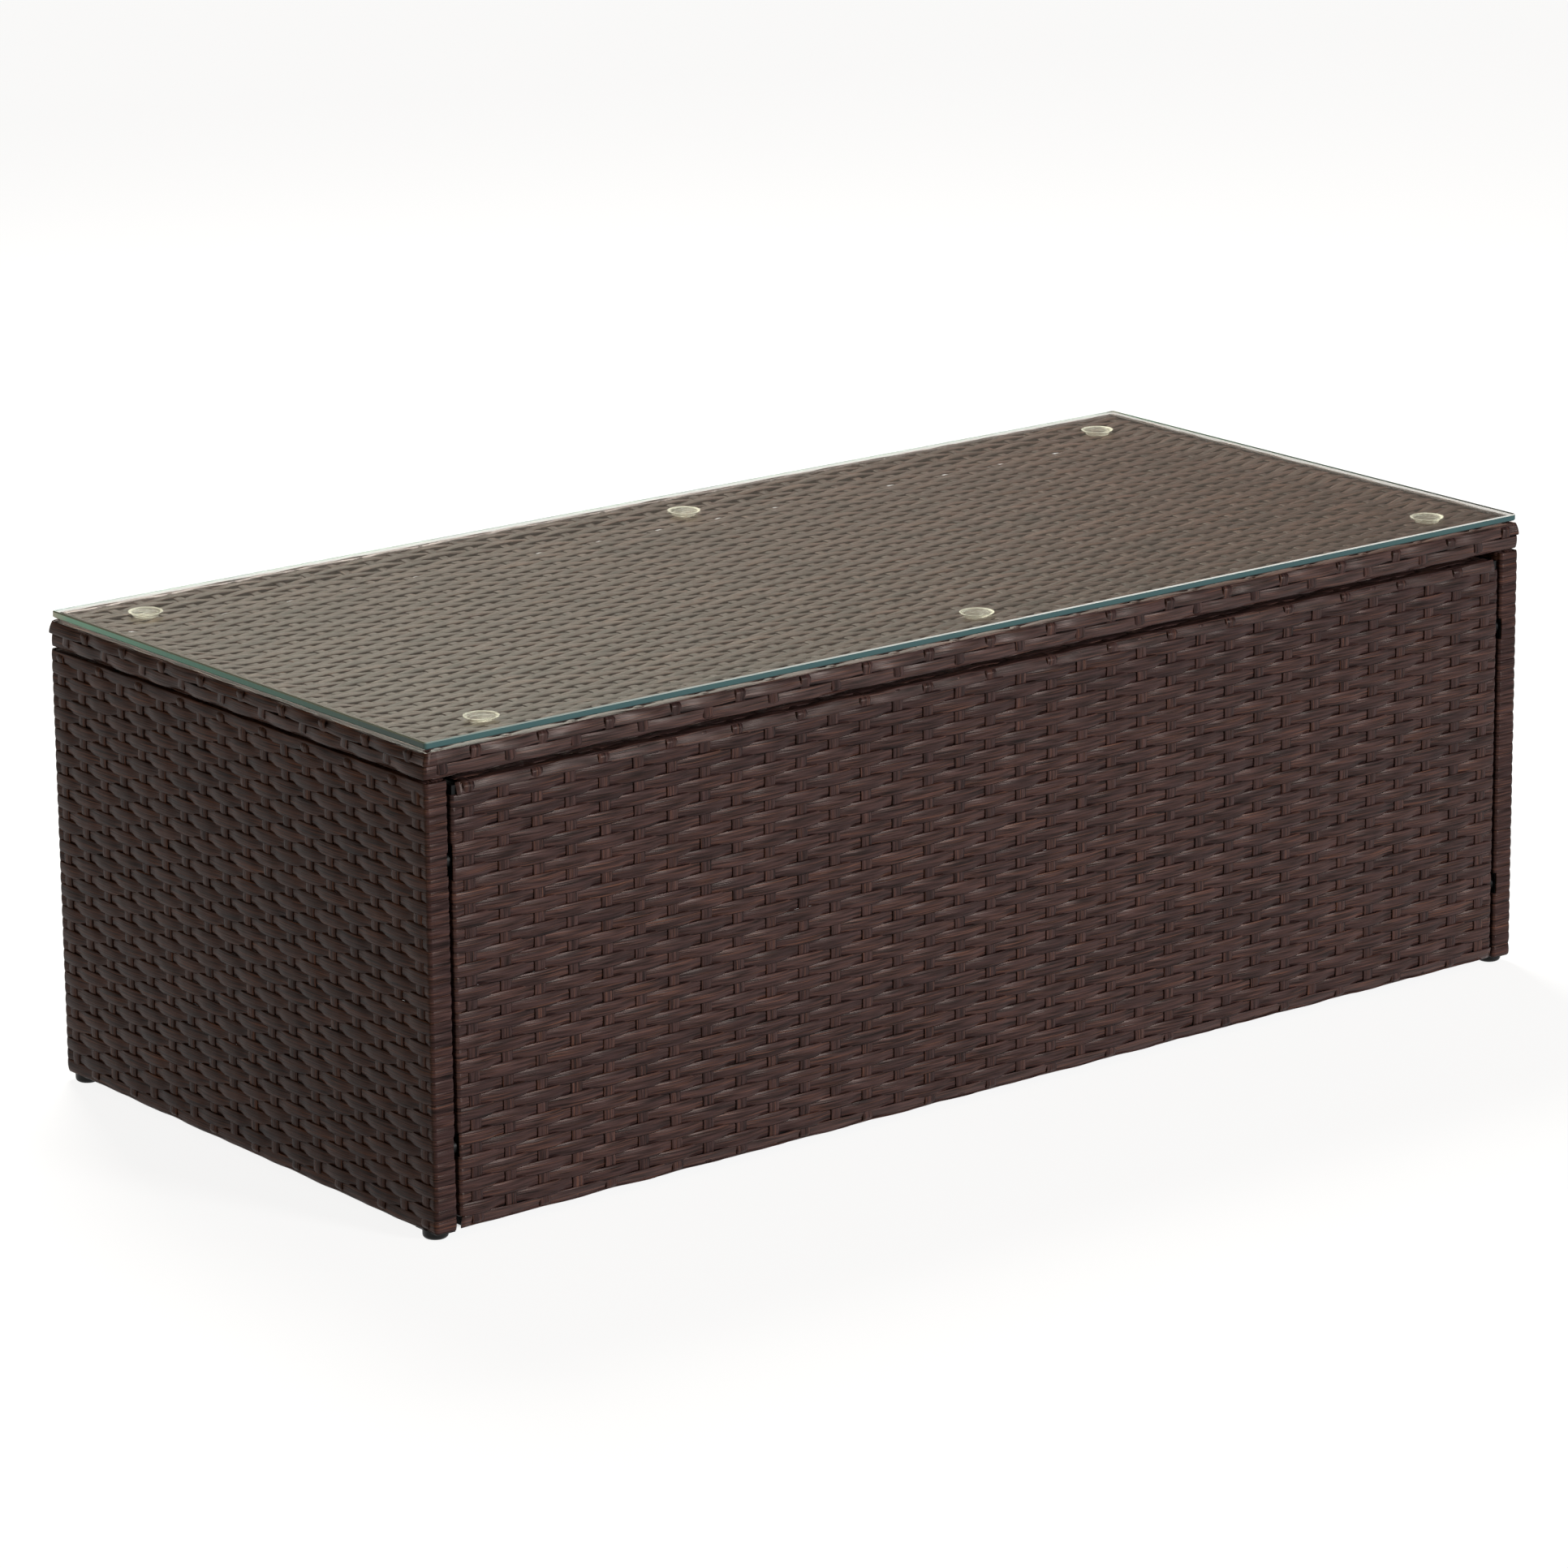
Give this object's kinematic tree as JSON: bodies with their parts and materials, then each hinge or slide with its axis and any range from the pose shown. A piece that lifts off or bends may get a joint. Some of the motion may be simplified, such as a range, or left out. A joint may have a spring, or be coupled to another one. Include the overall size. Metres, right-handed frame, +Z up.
{
  "type": "wicker coffee table",
  "caption": "Low rectangular garden coffee table: woven synthetic wicker panels on steel tube frames, with a loose glass top on clear suction pads.",
  "frame": {"origin": "on the floor, under the middle of the table", "axes": "+Z up, +X along the length of the table, and the front panel that the picture shows faces -Y"},
  "size_m": [1, 0.464, 0.3504],
  "materials": {
    "frame_steel": "black powder coat on welded square steel tube",
    "wicker": "dark brown extruded polyethylene strand, grained along its length, satin",
    "glass": "clear toughened float glass with polished edges that look green",
    "clear_pad": "soft clear vinyl, glossy",
    "black_plastic": "black moulded plastic",
    "black_bolt": "black coated steel",
    "zinc": "bright zinc plate"
  },
  "bodies": {
    "table_base": {"front_left_foot": "black_plastic", "front_right_foot": "black_plastic", "back_left_foot": "black_plastic", "back_right_foot": "black_plastic", "post_caps": "black_plastic", "left_front_post": "frame_steel", "left_back_post": "frame_steel", "left_top_rail": "frame_steel", "left_bottom_rail": "frame_steel", "left_weave": "wicker", "left_edge_wrap": "wicker", "right_front_post": "frame_steel", "right_back_post": "frame_steel", "right_top_rail": "frame_steel", "right_bottom_rail": "frame_steel", "right_weave": "wicker", "right_edge_wrap": "wicker", "front_left_stile": "frame_steel", "front_right_stile": "frame_steel", "front_top_rail": "frame_steel", "front_bottom_rail": "frame_steel", "front_upright": "frame_steel", "front_weave": "wicker", "front_edge_wrap": "wicker", "back_left_stile": "frame_steel", "back_right_stile": "frame_steel", "back_top_rail": "frame_steel", "back_bottom_rail": "frame_steel", "back_upright": "frame_steel", "back_weave": "wicker", "back_edge_wrap": "wicker", "side_bolts": "black_bolt", "side_washers": "zinc", "side_spacers": "black_plastic", "side_rivet_nuts": "zinc", "lid_front_rail": "frame_steel", "lid_back_rail": "frame_steel", "lid_left_rail": "frame_steel", "lid_right_rail": "frame_steel", "lid_left_bar": "frame_steel", "lid_right_bar": "frame_steel", "lid_weave": "wicker", "lid_edge_wrap": "wicker", "lid_bolts": "black_bolt", "lid_washers": "zinc", "lid_spacers": "black_plastic", "lid_rivet_nuts": "zinc"},
    "glass_sheet": {"suction_pads": "clear_pad", "glass_top": "glass"}
  },
  "joints": [
    {"name": "glass_lift", "type": "slide", "parent": "table_base", "child": "glass_sheet", "axis": [0, 0, 1], "range_m": [0, 0.08]}
  ]
}
